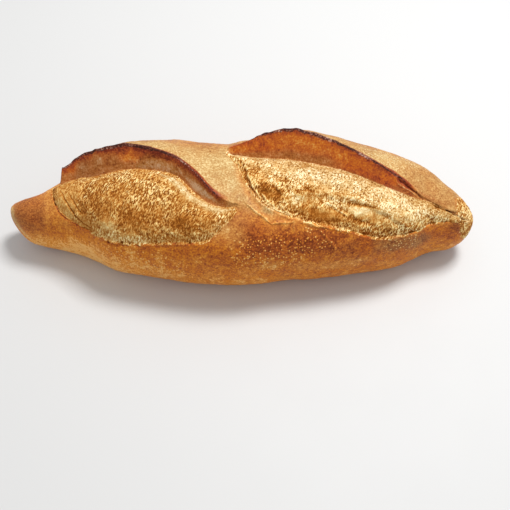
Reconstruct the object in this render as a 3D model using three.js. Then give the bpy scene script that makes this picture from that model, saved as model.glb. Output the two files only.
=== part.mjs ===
// A small crusty bread loaf that was slashed twice on the slant before baking.
// Each slash has opened into a swollen bloom, and its far side has lifted into a thin ear.
// Millimetres, +Z up. +X runs along the loaf and +Y points to the side that the ears lean to.
// The flat underside lies on z = 0, and the origin is below the middle of the loaf.

import * as THREE from 'three';

// Driving dimensions of the body
const LENGTH = 274;
const NEAR_WIDTH = 44;
const FAR_WIDTH = 43;
const CREST_HEIGHT = 60;
const LEFT_TIP = { y: -1, z: 22 };
const RIGHT_TIP = { y: 1, z: 22 };
const END_LIFT = 7;
const FLAT_REACH = 0.66;
const LEFT_CAP = 16;
const RIGHT_CAP = 16;

// Shape of a cross section: where it is widest, how full it is and how far it tucks under
const WIDEST_SHARE = 0.43;
const ARCH_POWER = 2.35;
const FLANK_POWER = 2.1;
const BASE_SHARE = 0.62;

// Driving dimensions of the slashes
const FIRST_EAR_RISE = 9.7;
const SECOND_EAR_RISE = 12.9;
const CREASE_DEPTH = 3;
const CREASE_WIDTH = 6;
const BLOOM_BULGE = 1.5;
const BULGE_POWER = 0.7;
const CRUST_STEP = 1.2;
const STEP_REACH = 5;
const STEP_ANGLE = 1.2;
const STEP_SHARE = 0.3;
const TERRACE_DROP = 1.3;
const TERRACE_EASE = 0.1;
const FACE_HOLLOW = 0.12;
const LIP_ANGLE = 3;
const LIP_SHARE = 0.82;
const BACK_FULLNESS = 1.2;
const FAR_SIDE = 180;

// Along the loaf a station is a share of half the length, from -1 at the left tip to 1 at the right.
// Outlines pair a station with a share of the driving width or height.
const NEAR_OUTLINE = [
  [-1, 0.36], [-0.87, 0.43], [-0.73, 0.51], [-0.62, 0.645], [-0.52, 0.815], [-0.36, 0.92], [-0.11, 1],
  [0.08, 0.975], [0.2, 0.9], [0.33, 0.85], [0.58, 0.685], [0.69, 0.57], [0.82, 0.345], [1, 0.27],
];
const FAR_OUTLINE = [
  [-1, 0.09], [-0.88, 0.145], [-0.77, 0.375], [-0.66, 0.65], [-0.5, 0.89], [-0.3, 1.005], [-0.19, 0.94],
  [-0.1, 0.91], [0.04, 0.915], [0.29, 1], [0.58, 0.945], [0.77, 0.755], [0.88, 0.405], [1, 0.235],
];
const CREST_LINE = [
  [-1, 0.52], [-0.84, 0.61], [-0.69, 0.75], [-0.47, 0.92], [-0.15, 1],
  [0.29, 1], [0.58, 0.93], [0.8, 0.79], [1, 0.6],
];

// A slash is three lines over the arch, each pairing a station with an angle in degrees that is
// measured up from the near side: the bloom's lower edge, the crease and the ear's edge.
// Past the slash's ends the lines only guide the columns of the mesh.
const FIRST_SLASH = {
  lower: [
    [-1, 100], [-0.81, 104], [-0.77, 72], [-0.715, 48], [-0.62, 31], [-0.5, 24], [-0.37, 24],
    [-0.23, 28], [-0.11, 33], [-0.04, 48], [0.02, 56], [0.14, 34], [0.36, 20], [0.58, 12], [1, 20],
  ],
  crease: [
    [-1, 108], [-0.81, 113], [-0.715, 113], [-0.62, 102], [-0.47, 103], [-0.33, 96], [-0.255, 90],
    [-0.18, 73], [-0.11, 62], [0.02, 58], [0.14, 37], [0.36, 23], [0.58, 15], [1, 24],
  ],
  ear: [
    [-1, 118], [-0.81, 122], [-0.76, 125], [-0.71, 121], [-0.62, 114.5], [-0.47, 113.5], [-0.33, 106],
    [-0.255, 100], [-0.18, 88], [-0.11, 73], [-0.04, 64], [0.02, 60], [0.14, 40], [0.36, 26],
    [0.58, 18], [1, 28],
  ],
  rise: [
    [-0.776, 0], [-0.768, 0.78], [-0.76, 0.79], [-0.74, 0.79], [-0.7, 0.86], [-0.63, 0.98], [-0.52, 1],
    [-0.4, 0.82], [-0.3, 0.57], [-0.15, 0.41], [-0.095, 0.155], [-0.035, 0],
  ],
  backRise: [[-0.86, 0], [-0.76, 0.3], [-0.68, 0.68], [-0.6, 0.95], [-0.52, 1]],
  terrace: [[-1, 0], [1, 0]],
  depth: [[-0.79, 0.1], [-0.7, 1]],
  riseHeight: FIRST_EAR_RISE,
  ends: [-0.81, 0.02],
  fade: [0.03, 0.09],
  backSpan: 40,
};
const SECOND_SLASH = {
  lower: [
    [-1, 140], [-0.44, 138], [-0.095, 124], [-0.045, 112], [0.01, 90], [0.065, 68], [0.125, 56],
    [0.21, 47], [0.33, 41], [0.45, 34], [0.57, 27], [0.73, 32], [0.82, 42], [0.905, 51], [1, 50],
  ],
  crease: [
    [-1, 146], [-0.44, 146], [-0.08, 129], [0, 124], [0.145, 117], [0.29, 107.3], [0.44, 96.5],
    [0.58, 81.5], [0.73, 67.5], [0.85, 64], [1, 60],
  ],
  ear: [
    [-1, 152], [-0.44, 154], [-0.08, 131], [0, 126], [0.1, 124], [0.22, 120], [0.33, 115],
    [0.44, 108], [0.57, 96.5], [0.66, 86], [0.74, 71], [0.85, 66], [1, 62],
  ],
  rise: [
    [-0.065, 0], [0, 0.35], [0.08, 0.74], [0.155, 0.97], [0.225, 1], [0.33, 0.87], [0.44, 0.62],
    [0.55, 0.37], [0.63, 0.18], [0.7, 0.05], [0.76, 0.03], [0.96, 0],
  ],
  backRise: [[-0.1, 0], [0.225, 1]],
  terrace: [[0, 0], [0.1, 0.3], [0.3, 0.4], [0.5, 0.5], [0.62, 0.4], [0.74, 0]],
  depth: [[0.6, 1], [0.76, 0.25], [1, 0.2]],
  riseHeight: SECOND_EAR_RISE,
  ends: [-0.08, 0.985],
  fade: [0.045, 0.045],
  backSpan: 60,
};
const SLASHES = [FIRST_SLASH, SECOND_SLASH];

// Mesh density: rings along the loaf, and columns in each band round a section
const CAP_RINGS = 7;
const MIDDLE_RINGS = 70;
const CRUST_COLUMNS = [6, 5, 7];
const BLOOM_COLUMNS = 8;
const FACE_COLUMNS = 3;
const FLANK_COLUMNS = 5;
const BASE_COLUMNS = 3;

// Colour and finish of the crust
const CRUST_COLOUR = 0xb87a3f;
const CRUST_ROUGHNESS = 0.72;

const HALF_LENGTH = LENGTH / 2;
const clamp01 = (t) => Math.min(1, Math.max(0, t));
const smooth = (t) => clamp01(t) ** 2 * (3 - 2 * clamp01(t));
const mix = (a, b, t) => a + (b - a) * t;
const bell = (t) => Math.exp(-t * t);
const radians = THREE.MathUtils.degToRad;

// Smooth curve through [station, value] points, flat beyond both ends.
function along(points, station) {
  const last = points.length - 1;
  if (station <= points[0][0]) return points[0][1];
  if (station >= points[last][0]) return points[last][1];
  let i = 0;
  while (station > points[i + 1][0]) i += 1;
  const slope = (k) => {
    const before = points[Math.max(k - 1, 0)];
    const after = points[Math.min(k + 1, last)];
    return (after[1] - before[1]) / (after[0] - before[0]);
  };
  const [x0, v0] = points[i];
  const [x1, v1] = points[i + 1];
  const step = x1 - x0;
  const t = (station - x0) / step;
  const ends = v0 * (1 + 2 * t) * (1 - t) ** 2 + v1 * t * t * (3 - 2 * t);
  const bends = slope(i) * t * (1 - t) ** 2 - slope(i + 1) * t * t * (1 - t);
  return ends + bends * step;
}

// Sizes of the cross section at a station.
function sectionAt(station) {
  const near = NEAR_WIDTH * along(NEAR_OUTLINE, station);
  const far = FAR_WIDTH * along(FAR_OUTLINE, station);
  const crest = CREST_HEIGHT * along(CREST_LINE, station);
  const base = END_LIFT * smooth((Math.abs(station) - FLAT_REACH) / (1 - FLAT_REACH));
  const middle = (far - near) / 2;
  const half = (far + near) / 2;
  return { middle, half, crest, base, widest: mix(base, crest, WIDEST_SHARE) };
}

// Share of full size left at x, which rounds both ends off.
function capShare(x) {
  const left = (LEFT_CAP - HALF_LENGTH - x) / LEFT_CAP;
  const right = (x - HALF_LENGTH + RIGHT_CAP) / RIGHT_CAP;
  const run = clamp01(Math.max(left, right));
  return Math.sqrt(1 - run * run);
}

// Plain arch, as a distance from the section's centre.
function archRadius(section, angle) {
  const across = Math.abs(Math.cos(angle)) / section.half;
  const upward = Math.abs(Math.sin(angle)) / (section.crest - section.widest);
  return (across ** ARCH_POWER + upward ** ARCH_POWER) ** (-1 / ARCH_POWER);
}

// The lines of a slash at a station, in degrees.
function slashLines(slash, station) {
  const lower = along(slash.lower, station);
  const crease = along(slash.crease, station);
  const ear = along(slash.ear, station);
  const step = lower + Math.min(STEP_ANGLE, STEP_SHARE * (crease - lower));
  return { lower, step, crease, ear, lip: ear + LIP_ANGLE };
}

// How far open the slash is: 0 past its ends and 1 between them.
function openness(slash, station) {
  const [from, to] = slash.ends;
  const [fadeIn, fadeOut] = slash.fade;
  return smooth((station - from) / fadeIn) * smooth((to - station) / fadeOut);
}

// Height of the bloom above the plain arch: swollen in the middle, below the crust at its
// lower edge, on a terrace under its fold, and deep in the crease.
function bloomLift(slash, station, lines, degrees, radius) {
  const share = clamp01((degrees - lines.lower) / (lines.crease - lines.lower));
  const width = radians(lines.crease - lines.lower) * radius;
  const ramp = clamp01((degrees - lines.lower) / STEP_ANGLE);
  const swell = BLOOM_BULGE * Math.sin(Math.PI * share) ** BULGE_POWER;
  const edge = CRUST_STEP * ramp * bell(share * width / STEP_REACH);
  const depth = along(slash.depth, station);
  const crease = CREASE_DEPTH * depth * bell((1 - share) * width / (CREASE_WIDTH * Math.sqrt(depth)));
  const fold = along(slash.terrace, station);
  const terrace = TERRACE_DROP * ramp * smooth((fold - share) / TERRACE_EASE);
  return openness(slash, station) * (swell - edge - crease - terrace);
}

// Height that a slash adds to the arch at an angle: bloom, ear face, ear edge and the ear's back.
function slashLift(slash, station, degrees, radius) {
  const lines = slashLines(slash, station);
  if (degrees <= lines.lower) return 0;
  if (degrees < lines.crease) return bloomLift(slash, station, lines, degrees, radius);
  const rise = slash.riseHeight * along(slash.rise, station);
  if (degrees < lines.ear) {
    const share = (degrees - lines.crease) / (lines.ear - lines.crease);
    const floor = -CREASE_DEPTH * along(slash.depth, station) * openness(slash, station);
    return mix(floor, rise, share - FACE_HOLLOW * Math.sin(Math.PI * share));
  }
  const back = LIP_SHARE * Math.min(rise, slash.riseHeight * along(slash.backRise, station));
  if (degrees < lines.lip) return mix(rise, back, (degrees - lines.ear) / LIP_ANGLE);
  const span = Math.min(slash.backSpan, FAR_SIDE - lines.lip);
  const away = clamp01((degrees - lines.lip) / span);
  return back * (1 - away) ** 2 * (1 + BACK_FULLNESS * away);
}

// Angles of the columns over the arch, denser where the slashes lie.
function columnAngles(station) {
  const angles = [];
  const band = (from, to, count) => {
    for (let i = 0; i < count; i += 1) angles.push(mix(from, to, i / count));
  };
  let start = 0;
  SLASHES.forEach((slash, k) => {
    const lines = slashLines(slash, station);
    band(start, lines.lower, CRUST_COLUMNS[k]);
    band(lines.lower, lines.step, 1);
    band(lines.step, lines.crease, BLOOM_COLUMNS);
    band(lines.crease, lines.ear, FACE_COLUMNS);
    band(lines.ear, lines.lip, 1);
    start = lines.lip;
  });
  band(start, FAR_SIDE, CRUST_COLUMNS[2]);
  angles.push(FAR_SIDE);
  return angles;
}

// Arch points of a section, from its near side over the top to its far side.
function archPoints(section, station) {
  return columnAngles(station).map((degrees) => {
    const angle = radians(degrees);
    const plain = archRadius(section, angle);
    const lift = SLASHES.reduce((sum, slash) => sum + slashLift(slash, station, degrees, plain), 0);
    const radius = plain + lift;
    return [section.middle - radius * Math.cos(angle), section.widest + radius * Math.sin(angle)];
  });
}

// Flank points on one side, from just below the widest level to the edge of the flat base.
function flankPoints(section, side) {
  const edge = BASE_SHARE * section.half;
  const points = [];
  for (let i = 1; i <= FLANK_COLUMNS; i += 1) {
    const turn = (Math.PI / 2) * (i / FLANK_COLUMNS);
    const out = Math.abs(Math.cos(turn)) ** (2 / FLANK_POWER);
    const down = Math.sin(turn) ** (2 / FLANK_POWER);
    const y = section.middle + side * mix(edge, section.half, out);
    points.push([y, mix(section.widest, section.base, down)]);
  }
  return points;
}

// Points across the flat base, between its two edges.
function basePoints(section) {
  const edge = BASE_SHARE * section.half;
  const points = [];
  for (let i = 1; i < BASE_COLUMNS; i += 1) {
    points.push([section.middle + mix(edge, -edge, i / BASE_COLUMNS), section.base]);
  }
  return points;
}

// One closed ring of the loaf at x, drawn in towards the tip in the rounded ends.
function ringAt(x) {
  const station = x / HALF_LENGTH;
  const section = sectionAt(station);
  const share = capShare(x);
  const tip = x < 0 ? LEFT_TIP : RIGHT_TIP;
  const outline = [
    ...archPoints(section, station),
    ...flankPoints(section, 1),
    ...basePoints(section),
    ...flankPoints(section, -1).reverse(),
  ];
  return outline.map(([y, z]) => [x, mix(tip.y, y, share), mix(tip.z, z, share)]);
}

// Stations of the rings: even between the caps, closing up towards both tips.
function ringStations() {
  const stations = [];
  const turn = (i) => (Math.PI / 2) * (i / CAP_RINGS);
  for (let i = 1; i <= CAP_RINGS; i += 1) {
    stations.push(-HALF_LENGTH + LEFT_CAP * (1 - Math.cos(turn(i))));
  }
  const from = LEFT_CAP - HALF_LENGTH;
  const to = HALF_LENGTH - RIGHT_CAP;
  for (let i = 1; i < MIDDLE_RINGS; i += 1) stations.push(mix(from, to, i / MIDDLE_RINGS));
  for (let i = CAP_RINGS; i >= 1; i -= 1) {
    stations.push(HALF_LENGTH - RIGHT_CAP * (1 - Math.cos(turn(i))));
  }
  return stations;
}

// The closed surface: rings joined by triangles, with a fan at each tip.
function loafGeometry() {
  const rings = ringStations().map(ringAt);
  const columns = rings[0].length;
  const leftTip = [-HALF_LENGTH, LEFT_TIP.y, LEFT_TIP.z];
  const rightTip = [HALF_LENGTH, RIGHT_TIP.y, RIGHT_TIP.z];
  const vertices = [leftTip, ...rings.flat(), rightTip];
  const at = (ring, column) => 1 + ring * columns + (column % columns);
  const lastTip = vertices.length - 1;
  const faces = [];
  for (let c = 0; c < columns; c += 1) {
    faces.push(0, at(0, c), at(0, c + 1));
    for (let r = 0; r < rings.length - 1; r += 1) {
      faces.push(at(r, c), at(r + 1, c), at(r + 1, c + 1));
      faces.push(at(r, c), at(r + 1, c + 1), at(r, c + 1));
    }
    faces.push(at(rings.length - 1, c + 1), at(rings.length - 1, c), lastTip);
  }
  const geometry = new THREE.BufferGeometry();
  geometry.setAttribute('position', new THREE.Float32BufferAttribute(vertices.flat(), 3));
  geometry.setIndex(faces);
  geometry.computeVertexNormals();
  return geometry;
}

const crust = new THREE.MeshStandardMaterial({
  color: CRUST_COLOUR,
  roughness: CRUST_ROUGHNESS,
  metalness: 0,
});

const loaf = new THREE.Mesh(loafGeometry(), crust);
loaf.name = 'loaf';

const part = new THREE.Group();
part.add(loaf);

export default part;
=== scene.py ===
"""A small crusty bread loaf, slashed twice on the slant, on a pale floor under soft studio light."""
import math
from types import SimpleNamespace

import bpy
import numpy as np
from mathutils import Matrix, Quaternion, Vector


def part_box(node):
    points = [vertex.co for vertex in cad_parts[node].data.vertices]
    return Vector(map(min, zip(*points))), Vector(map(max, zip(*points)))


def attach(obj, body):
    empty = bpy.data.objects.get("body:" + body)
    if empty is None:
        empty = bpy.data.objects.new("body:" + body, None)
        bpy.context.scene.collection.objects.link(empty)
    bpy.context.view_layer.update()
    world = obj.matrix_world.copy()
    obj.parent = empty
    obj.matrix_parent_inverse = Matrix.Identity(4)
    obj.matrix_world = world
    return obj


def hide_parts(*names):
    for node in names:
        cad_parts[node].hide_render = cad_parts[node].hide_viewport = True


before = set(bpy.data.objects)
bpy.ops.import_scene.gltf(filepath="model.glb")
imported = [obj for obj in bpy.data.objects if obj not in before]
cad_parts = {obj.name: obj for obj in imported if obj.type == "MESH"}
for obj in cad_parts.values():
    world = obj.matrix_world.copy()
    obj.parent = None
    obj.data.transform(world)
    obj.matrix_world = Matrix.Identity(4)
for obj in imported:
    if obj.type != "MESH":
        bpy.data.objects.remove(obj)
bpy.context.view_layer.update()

MM = 0.001
TINY = 1e-12

# Body of the loaf, with the same measures as the solid
LOW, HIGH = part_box("loaf")
HALF_LENGTH = (HIGH.x - LOW.x) / 2
NEAR_WIDTH = 44 * MM
FAR_WIDTH = 43 * MM
CREST_HEIGHT = 60 * MM
LEFT_TIP = (-1 * MM, 22 * MM)
RIGHT_TIP = (1 * MM, 22 * MM)
END_LIFT = 7 * MM
FLAT_REACH = 0.66
LEFT_CAP = 16 * MM
RIGHT_CAP = 16 * MM
WIDEST_SHARE = 0.43
ARCH_POWER = 2.35
FLANK_POWER = 2.1
BASE_SHARE = 0.62
FAR_SIDE = 180

# Slashes, with the same measures as the solid
CREASE_DEPTH = 3 * MM
CREASE_WIDTH = 6 * MM
BLOOM_BULGE = 1.5 * MM
BULGE_POWER = 0.7
CRUST_STEP = 1.2 * MM
STEP_REACH = 5 * MM
STEP_ANGLE = 1.2
TERRACE_DROP = 1.3 * MM
TERRACE_EASE = 0.1
FACE_HOLLOW = 0.12
LIP_ANGLE = 3
LIP_SHARE = 0.82
BACK_FULLNESS = 1.2

# Along the loaf a station is a share of half the length, from -1 at the left tip to 1 at the right.
# Outlines pair a station with a share of the width or height.
NEAR_OUTLINE = [
    (-1, 0.36), (-0.87, 0.43), (-0.73, 0.51), (-0.62, 0.645), (-0.52, 0.815), (-0.36, 0.92), (-0.11, 1),
    (0.08, 0.975), (0.2, 0.9), (0.33, 0.85), (0.58, 0.685), (0.69, 0.57), (0.82, 0.345), (1, 0.27),
]
FAR_OUTLINE = [
    (-1, 0.09), (-0.88, 0.145), (-0.77, 0.375), (-0.66, 0.65), (-0.5, 0.89), (-0.3, 1.005), (-0.19, 0.94),
    (-0.1, 0.91), (0.04, 0.915), (0.29, 1), (0.58, 0.945), (0.77, 0.755), (0.88, 0.405), (1, 0.235),
]
CREST_LINE = [
    (-1, 0.52), (-0.84, 0.61), (-0.69, 0.75), (-0.47, 0.92), (-0.15, 1),
    (0.29, 1), (0.58, 0.93), (0.8, 0.79), (1, 0.6),
]

# A slash is three lines over the arch, each pairing a station with an angle in degrees that is
# measured up from the near side: the bloom's lower edge, the crease and the ear's edge.
# The rise of the ear and of its back, the terrace's share of the bloom and the crease's depth go by
# station, and so do the lists below them, except those that are said to go up the bloom or the face.
# The ends and how far they fade are in stations, and the span of the ear's back is in degrees.
NOUGHT = [(-1, 0), (1, 0)]
FIRST_SLASH = SimpleNamespace(
    lower=[
        (-1, 100), (-0.81, 104), (-0.77, 72), (-0.715, 48), (-0.62, 31), (-0.5, 24), (-0.37, 24),
        (-0.23, 28), (-0.11, 33), (-0.04, 48), (0.02, 56), (0.14, 34), (0.36, 20), (0.58, 12), (1, 20),
    ],
    crease=[
        (-1, 108), (-0.81, 113), (-0.715, 113), (-0.62, 102), (-0.47, 103), (-0.33, 96), (-0.255, 90),
        (-0.18, 73), (-0.11, 62), (0.02, 58), (0.14, 37), (0.36, 23), (0.58, 15), (1, 24),
    ],
    ear=[
        (-1, 118), (-0.81, 122), (-0.76, 125), (-0.71, 121), (-0.62, 114.5), (-0.47, 113.5),
        (-0.33, 106), (-0.255, 100), (-0.18, 88), (-0.11, 73), (-0.04, 64), (0.02, 60), (0.14, 40),
        (0.36, 26), (0.58, 18), (1, 28),
    ],
    rise=[
        (-0.776, 0), (-0.768, 0.78), (-0.76, 0.79), (-0.74, 0.79), (-0.7, 0.86), (-0.63, 0.98), (-0.52, 1),
        (-0.4, 0.82), (-0.3, 0.57), (-0.15, 0.41), (-0.095, 0.155), (-0.035, 0),
    ],
    back_rise=[(-0.86, 0), (-0.76, 0.3), (-0.68, 0.68), (-0.6, 0.95), (-0.52, 1)],
    terrace=NOUGHT,
    depth=[(-0.79, 0.1), (-0.7, 1)],
    rise_height=9.7 * MM,
    ends=(-0.81, 0.02),
    fade=(0.03, 0.09),
    back_span=40,
    # how it has baked: depth of the burnt edge in mm; tone, creaminess and smoothness up the bloom; tone and
    # hue of the face, their change up the face, which paints shade at its foot by the crease, and its scorch;
    # share, height and tone of torn skin; clumps
    burn=[(-0.79, 0.5), (-0.7, 0.8), (-0.5, 1.5), (-0.4, 1.4), (-0.3, 0.8), (-0.15, 0.5), (-0.04, 0.5)],
    crumb_tone=[(0, 0.56), (0.5, 0.4), (0.8, 0.48), (1, 0.5)],
    cream=NOUGHT,
    calm=[(0, 0.5), (0.35, 0.4), (0.6, 0.05), (0.75, 0), (0.92, 0), (1, 0.5)],
    face_tone=[(-0.75, 0.53), (-0.62, 0.57), (-0.5, 0.52), (-0.25, 0.5), (-0.05, 0.58)],
    face_hue=0.25,
    face_painted_shade=NOUGHT,
    face_painted_shade_hue=NOUGHT,
    scorch=0.45,
    skin_share=[(-1, 1), (1, 1)],
    skin_height=0.2 * MM,
    skin_tone=-0.1,
    clump=0.5 * MM,
    clump_tone=0.1,
)
SECOND_SLASH = SimpleNamespace(
    lower=[
        (-1, 140), (-0.44, 138), (-0.095, 124), (-0.045, 112), (0.01, 90), (0.065, 68), (0.125, 56),
        (0.21, 47), (0.33, 41), (0.45, 34), (0.57, 27), (0.73, 32), (0.82, 42), (0.905, 51), (1, 50),
    ],
    crease=[
        (-1, 146), (-0.44, 146), (-0.08, 129), (0, 124), (0.145, 117), (0.29, 107.3), (0.44, 96.5),
        (0.58, 81.5), (0.73, 67.5), (0.85, 64), (1, 60),
    ],
    ear=[
        (-1, 152), (-0.44, 154), (-0.08, 131), (0, 126), (0.1, 124), (0.22, 120), (0.33, 115),
        (0.44, 108), (0.57, 96.5), (0.66, 86), (0.74, 71), (0.85, 66), (1, 62),
    ],
    rise=[
        (-0.065, 0), (0, 0.35), (0.08, 0.74), (0.155, 0.97), (0.225, 1), (0.33, 0.87), (0.44, 0.62),
        (0.55, 0.37), (0.63, 0.18), (0.7, 0.05), (0.76, 0.03), (0.96, 0),
    ],
    back_rise=[(-0.1, 0), (0.225, 1)],
    terrace=[(0, 0), (0.1, 0.3), (0.3, 0.4), (0.5, 0.5), (0.62, 0.4), (0.74, 0)],
    depth=[(0.6, 1), (0.76, 0.25), (1, 0.2)],
    rise_height=12.9 * MM,
    ends=(-0.08, 0.985),
    fade=(0.045, 0.045),
    back_span=60,
    burn=[(0, -1), (0.06, 0.4), (0.2, 1.2), (0.45, 1), (0.58, 0.6), (0.66, 0.3), (0.76, -0.5)],
    crumb_tone=[(0, 0.56), (0.4, 0.59), (0.7, 0.6), (1, 0.54)],
    cream=[(0.2, 0), (0.6, 0.6), (1, 0.9)],
    calm=[(0, 0.1), (0.3, 0), (0.5, 0), (0.75, 0.35), (0.92, 0.45), (1, 0.6)],
    face_tone=[(0, 0.58), (0.12, 0.57), (0.35, 0.62), (0.55, 0.5), (0.72, 0.38)],
    face_hue=0.95,
    # painted shade: the face darker and duller towards its foot in the crease
    face_painted_shade=[(0, -0.2), (0.35, -0.1), (0.55, 0.08), (0.75, 0.16), (1, 0.06)],
    face_painted_shade_hue=[(0, -0.8), (0.3, -0.6), (0.45, -0.1), (0.55, 0.05), (1, 0.05)],
    scorch=0.35,
    skin_share=[(0.2, 1), (0.45, 0.2)],
    skin_height=0.35 * MM,
    skin_tone=0.12,
    clump=0.9 * MM,
    clump_tone=0.22,
)
SLASHES = (FIRST_SLASH, SECOND_SLASH)

# Mesh density before thinning, and the most triangles that stay
CAP_ROWS = 24
MIDDLE_ROWS = 660
CRUST_COLUMNS = (40, 40, 60)
BLOOM_COLUMNS = 100
FACE_COLUMNS = 16
LIP_COLUMNS = 5
FLANK_COLUMNS = 20
BASE_COLUMNS = 15
TRIANGLE_LIMIT = 190_000

# Noises of the surface: size and layer
RAG_NOISES = ((9 * MM, 1), (3 * MM, 2))
SWELL_NOISES = ((22 * MM, 11), (9 * MM, 12))
GRAIN_SPOTS = (1.7 * MM, 21)
GRAIN_NOISE = (0.85 * MM, 22)
WANDER_NOISES = ((4 * MM, 51), (4 * MM, 52), (4 * MM, 53))
# Noises with finer noise on them: size, octaves and first layer
TEAR_NOISE = (5 * MM, 3, 5)
BURN_NOISE = (7 * MM, 2, 7)
TIP_NOISE = (6 * MM, 3, 8)
PIMPLE_NOISE = (2.6 * MM, 2, 13)
CLUMP_NOISE = (6 * MM, 2, 24)
CLOUD_NOISE = (14 * MM, 3, 41)

# Relief of the baked surface, and what its grain and clouds do to the tone
SWELL_HEIGHT = 0.5 * MM
PIMPLE_HEIGHT = 0.12 * MM
GRAIN_STRETCH = np.array([1, 0.5, 0.5])
GRAIN_HEIGHT = 0.32 * MM
GRAIN_MIDDLE = 0.55
GRAIN_JITTER = 0.3
GRAIN_TONE = 0.12
CALM_SHARE = 0.8
CLOUD_TONE = 0.08
RAG_HEIGHT = 0.55 * MM
RAG_POWER = 5
RAG_RISE = 3 * MM
TEAR_DEPTH = 1 * MM
SKIN_WIDTH = 0.6 * MM
SKIN_OUTSET = 0.2 * MM
# The relief fades out at the tips, where less than this share of full size is left, and near the floor
TIP_FADE = 0.5
FLOOR_FADE = 3 * MM

# Widths over which a mask's edge runs from 0 to 1: the coloured masks, which the material sharpens, the
# bloom's relief and the skin of the right tip
MASK_BAND = 4 * MM
RELIEF_BAND = 1 * MM
TIP_BAND = 2 * MM
# Rise at which an ear has its full face, and how fast a slash takes its full colours from its ends
FACE_RISE = 1 * MM
OPENING_GAIN = 3
# Half of the step, in stations, over which the slope of a line is measured
SLOPE_STEP = 0.004

# Burnt edges of the ears: how unevenly deep, from which rise, and the scorch in front of them
BURN_SWING = 0.4
BURN_RISE = 1.5 * MM
SCORCH_REACH = 2.3 * MM
SCORCH_HUE = 0.8

# Drawing of lines and patches: how far they wander, and how lines are followed and taper off
LINE_WANDER = 0.6 * MM
PATCH_WANDER = 2.4 * MM
LINE_STEPS = 8
LINE_REACH = 3
TAPER_END = 0.02
TAPER_POWER = 0.4

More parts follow.
